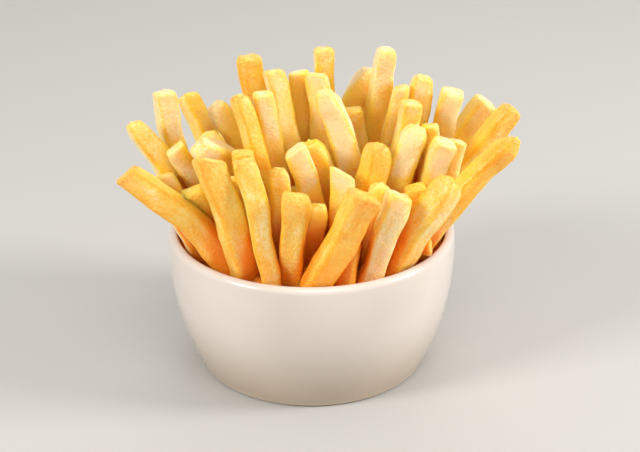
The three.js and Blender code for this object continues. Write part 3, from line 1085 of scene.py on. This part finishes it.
def core():
    shape = spun(core_outline(), CORE_STEPS)
    for vert in shape.verts:
        if vert.co.z > CORE_EDGE:
            distances, _ = noise.voronoi(vert.co / LUMP_SIZE)
            vert.co.z += LUMP_HEIGHT * (min(1, distances[1] - distances[0]) - 1)
    return finished(shape, "deep_fries", "fries")


pieces["deep_fries"] = core()

# %% [markdown]
# ## Writing shader maths
# A shader network is easier to read as a formula than as a list of links. So one small class stands for
# an output of a node: adding or multiplying two of them adds the Math node that does it.

# %% Signals and finishes
class Signal:
    """One output of a shader node, on which plain maths works."""

    def __init__(self, finish, socket):
        self.finish = finish
        self.socket = socket

    def maths(self, operation, first, second):
        return self.finish.node("Math", {"operation": operation}, {0: first, 1: second})

    def __add__(self, other):
        return self.maths("ADD", self, other)

    def __radd__(self, other):
        return self.maths("ADD", other, self)

    def __sub__(self, other):
        return self.maths("SUBTRACT", self, other)

    def __rsub__(self, other):
        return self.maths("SUBTRACT", other, self)

    def __mul__(self, other):
        return self.maths("MULTIPLY", self, other)

    def __rmul__(self, other):
        return self.maths("MULTIPLY", other, self)


class Finish:
    """A material that is built up node by node."""

    def __init__(self, name):
        self.material = bpy.data.materials.new(name)
        self.material.use_nodes = True
        self.tree = self.material.node_tree
        self.shader = self.tree.nodes["Principled BSDF"]

    def plug(self, socket, value):
        if isinstance(value, Signal):
            self.tree.links.new(value.socket, socket)
        else:
            socket.default_value = value

    def node(self, kind, settings, inputs, output=0):
        """Adds a node, first its settings, then the values or links of its sockets."""
        made = self.tree.nodes.new("ShaderNode" + kind)
        for name, value in settings.items():
            if name == "stops":
                set_stops(made.color_ramp, value)
            else:
                setattr(made, name, value)
        for name, value in inputs.items():
            self.plug(made.inputs[name], value)
        return Signal(self, made.outputs[output])

    def between(self, low_colour, high_colour, factor):
        """A colour mix."""
        settings = {"data_type": "RGBA"}
        return self.node("Mix", settings, {0: factor, 6: low_colour, 7: high_colour}, 2)

    def steps(self, signal, low, high):
        """Brings a range of a signal to 0 to 1, smoothly."""
        settings = {"interpolation_type": "SMOOTHSTEP"}
        return self.node("MapRange", settings, {0: signal, 1: low, 2: high})

    def set(self, **values):
        """Fills inputs of the shader, named in small letters."""
        for name, value in values.items():
            self.plug(self.shader.inputs[name.replace("_", " ").title().replace("Ior", "IOR")], value)


def set_stops(ramp, stops):
    while len(ramp.elements) > 1:
        ramp.elements.remove(ramp.elements[-1])
    ramp.elements[0].position, ramp.elements[0].color = stops[0]
    for position, colour in stops[1:]:
        ramp.elements.new(position).color = colour


def colour(red, green, blue):
    """A colour as screens write it, 0 to 255, turned into the linear one that shaders use."""
    shares = [value / 255 for value in (red, green, blue)]
    linear = [share / 12.92 if share <= 0.04045 else ((share + 0.055) / 1.055) ** 2.4 for share in shares]
    return (*linear, 1)


print("Half bright on a screen is", round(colour(128, 128, 128)[0], 3), "in linear light.")

# %% [markdown]
# ## The glaze
# A glaze is glass on clay: a soft cream body colour under a hard clear coat. It isn't quite even. It
# pools and thins by hundredths of a millimetre, which shows as faint clouds and a slight waver in the
# highlights. Towards the foot the body turns darker and browner, which is painted shade on the low wall.

# %% Glaze finish
THICK_GLAZE = colour(205, 194, 184)
THIN_GLAZE = colour(210, 200, 191)
FOOT_SHADE = colour(180, 163, 143)
FOOT_SHADE_TOP = 36 * MM


def glaze_finish():
    finish = Finish("cream_glaze")
    place = finish.node("TexCoord", {}, {}, "Object")
    cloud = finish.node("TexNoise", {}, {"Vector": place, "Scale": 35, "Detail": 3})
    fine = finish.node("TexNoise", {}, {"Vector": place, "Scale": 420, "Detail": 2})
    body = finish.between(THICK_GLAZE, THIN_GLAZE, finish.steps(cloud, 0.3, 0.7))
    height = finish.node("SeparateXYZ", {}, {0: place}, "Z")
    # Painted shade: the body turns darker and browner towards the foot.
    body = finish.between(FOOT_SHADE, body, finish.steps(height, 0.0, FOOT_SHADE_TOP))
    bump = finish.node("Bump", {}, {"Strength": 0.1, "Distance": 0.0002, "Height": fine})
    finish.set(base_color=body, roughness=0.16 + fine * 0.08, normal=bump)
    finish.set(coat_weight=0.35, coat_roughness=0.08, ior=1.5)
    return finish.material


glaze = glaze_finish()
glazed_bowl.data.materials.append(glaze)
print("The glaze is made of", len(glaze.node_tree.nodes), "nodes.")

# %% [markdown]
# ## The fried skin
# The skin of a fry goes from pale straw over gold to amber. How far it has gone is one number, its
# shade: it depends on how the fry is fried, it is higher at the end, where the fry browns, and on edges,
# where it browns and where painted shade stands for their rounding, and noise at four sizes gives it
# clouds, patches, blisters and grit. The noise reads the place that a point had on the straight stick, so
# that the pattern follows every bend. A painted picture could do it too, but would have to be unwrapped
# for every fry.

# %% Patterns of the skin
STRETCH = (1, 1, 0.35)
MIDDLE = 0.5


def attribute(finish, name, output):
    return finish.node("Attribute", {"attribute_name": name}, {}, output)


class SkinPatterns:
    """What the mesh says about the looks of each point, and noise at four sizes."""

    def __init__(self, finish):
        looks = finish.node("SeparateXYZ", {}, {0: attribute(finish, "looks", "Vector")}).socket.node
        self.fried, self.edge, self.end = (Signal(finish, looks.outputs[axis]) for axis in "XYZ")
        grain = attribute(finish, "grain", "Vector")
        long_way = finish.node("Mapping", {}, {"Vector": grain, "Scale": STRETCH})
        self.clouds = finish.node("TexNoise", {}, {"Vector": long_way, "Scale": 0.12, "Detail": 3})
        self.patches = finish.node("TexNoise", {}, {"Vector": long_way, "Scale": 0.32, "Detail": 3})
        self.blisters = finish.node("TexNoise", {}, {"Vector": grain, "Scale": 0.9, "Detail": 4})
        self.grit = finish.node("TexNoise", {}, {"Vector": grain, "Scale": 2.2, "Detail": 4})


print("The patterns are drawn out", round(1 / STRETCH[2], 1), "times along the stick.")

# %% [markdown]
# ## Colours along the shade
# The shade adds up what the patterns say. A colour ramp then turns it into straw, gold or amber, and the
# rim of the end is toasted where a fry is fried dark. Towards the end the skin turns a little deeper,
# partly browning and partly painted shade on the tops, which face the lamps.

# %% Colours of the skin
STRAW = (0.89, 0.75, 0.43, 1)
GOLD = (0.87, 0.58, 0.11, 1)
AMBER = (0.87, 0.385, 0.02, 1)
TOAST = (0.60, 0.20, 0.01, 1)
END_BROWN_AND_SHADE = (0.80, 0.455, 0.11, 1)
BARE_SHADE = -0.2
FRIED_SHADE = 0.8
EDGE_BROWN_AND_SHADE = 0.4
END_SHADE = 0.16
CLOUD_SHADE = 1.1
PATCH_SHADE = 1.0
BLISTER_SHADE = 0.8
GRIT_SHADE = 0.9
CRISP_END = 0.6
CRISP_FRIED = 0.5
CRISP_BLISTER = 0.9
TOAST_RANGE = (0.85, 1.15)
TOAST_SHARE = 0.6
END_BROWN_AND_SHADE_SHARE = 0.45


def fried_skin(finish, patterns):
    """The colour of the skin in the open, browned on the rim of the end, with painted shade on edges and
    towards the end.
    """
    # Edges count as deeper gold: partly browning, partly painted shade of their rounding.
    shade = patterns.fried * FRIED_SHADE + patterns.edge * EDGE_BROWN_AND_SHADE + patterns.end * END_SHADE
    shade = shade + (patterns.clouds - MIDDLE) * CLOUD_SHADE + (patterns.patches - MIDDLE) * PATCH_SHADE
    shade = shade + (patterns.blisters - MIDDLE) * BLISTER_SHADE + (patterns.grit - MIDDLE) * GRIT_SHADE
    ramp = [(0.0, STRAW), (0.5, GOLD), (1.0, AMBER)]
    skin = finish.node("ValToRGB", {"stops": ramp}, {0: shade + BARE_SHADE})
    crisp = patterns.end * CRISP_END + patterns.fried * CRISP_FRIED
    crisp = crisp + (patterns.blisters - MIDDLE) * CRISP_BLISTER
    skin = finish.between(skin, TOAST, finish.steps(crisp, *TOAST_RANGE) * TOAST_SHARE)
    # The end turns deeper gold: partly browning, partly painted shade on the tops, which face the lamps.
    return finish.between(skin, END_BROWN_AND_SHADE, patterns.end * END_BROWN_AND_SHADE_SHARE)


print("Straw is", STRAW[:3], "and amber", AMBER[:3], "in linear light.")

# %% [markdown]
# ## Light in the heap
# Fried potato is a soft translucent flesh under a thin crisp skin. Light goes in at one side of a fry
# and comes out a few millimetres on, which is why the gaps in a heap glow orange. Subsurface scattering
# does that within one fry. Light that has been through several of them is painted into the colour: a
# richer gold as painted shade where the sky is hidden, and a deep orange as painted shade where the heap
# is crowded. Oil is a thin coat.

# %% Potato finish
SHUT_SHADE = (1.0, 0.61, 0.012, 1)
SHUT_SHADE_RANGE = (0.1, 0.75)
SHUT_SHADE_SHARE = 0.78
SHUT_SHADE_FRIED_LESS = 0.43
CROWD_SHADE = (1.0, 0.27, 0.012, 1)
CROWD_SHADE_RANGE = (0.2, 0.9)
CROWD_SHADE_SHARE = 0.9
GRIT_HEIGHT = 0.4


def potato_finish():
    finish = Finish("fried_potato")
    patterns = SkinPatterns(finish)
    skin = fried_skin(finish, patterns)
    # Painted shade: a richer gold where other fries hide the sky, less on darker fries.
    shut = 1 - attribute(finish, "open", "Fac")
    shut_shade = finish.steps(shut, *SHUT_SHADE_RANGE) * (SHUT_SHADE_SHARE - patterns.fried * SHUT_SHADE_FRIED_LESS)
    skin = finish.between(skin, SHUT_SHADE, shut_shade)
    # Painted shade: a deep orange where the heap is crowded and low.
    crowd = attribute(finish, "crowd", "Fac")
    skin = finish.between(skin, CROWD_SHADE, finish.steps(crowd, *CROWD_SHADE_RANGE) * CROWD_SHADE_SHARE)
    height = patterns.blisters + patterns.grit * GRIT_HEIGHT
    bump = finish.node("Bump", {}, {"Strength": 0.9, "Distance": 0.0008, "Height": height})
    finish.set(base_color=skin, roughness=0.4 + patterns.blisters * 0.14, normal=bump)
    finish.set(subsurface_weight=0.9, subsurface_scale=0.006, subsurface_radius=(1, 0.6, 0.2))
    finish.set(specular_ior_level=0.1, coat_weight=0.45, coat_roughness=0.3)
    return finish.material


potato = potato_finish()
for kind in KINDS:
    pieces[kind].data.materials.append(potato)
print("The potato is made of", len(potato.node_tree.nodes), "nodes.")

# %% [markdown]
# ## The fries that lie deep
# Of the fries at the bottom only a dim orange glow is left. They need no fine skin, so two browns in
# soft patches do, and both are painted shade for how little light gets down there. They have no
# subsurface light of their own, as it would make the whole lump glow pink.

# %% Deep potato finish
DEEP_SHADE_BROWN = colour(150, 72, 10)
DEEP_SHADE_ORANGE = colour(222, 132, 24)


def deep_finish():
    finish = Finish("deep_potato_shade")
    place = finish.node("TexCoord", {}, {}, "Object")
    patches = finish.node("TexNoise", {}, {"Vector": place, "Scale": 120, "Detail": 3})
    # Painted shade: dark brown and dim orange patches stand for the little light down there.
    skin = finish.between(DEEP_SHADE_BROWN, DEEP_SHADE_ORANGE, finish.steps(patches, 0.35, 0.7))
    finish.set(base_color=skin, roughness=0.6, specular_ior_level=0.16)
    return finish.material


pieces["deep_fries"].data.materials.append(deep_finish())
print("All", len(pieces) + 1, "pieces have a finish.")
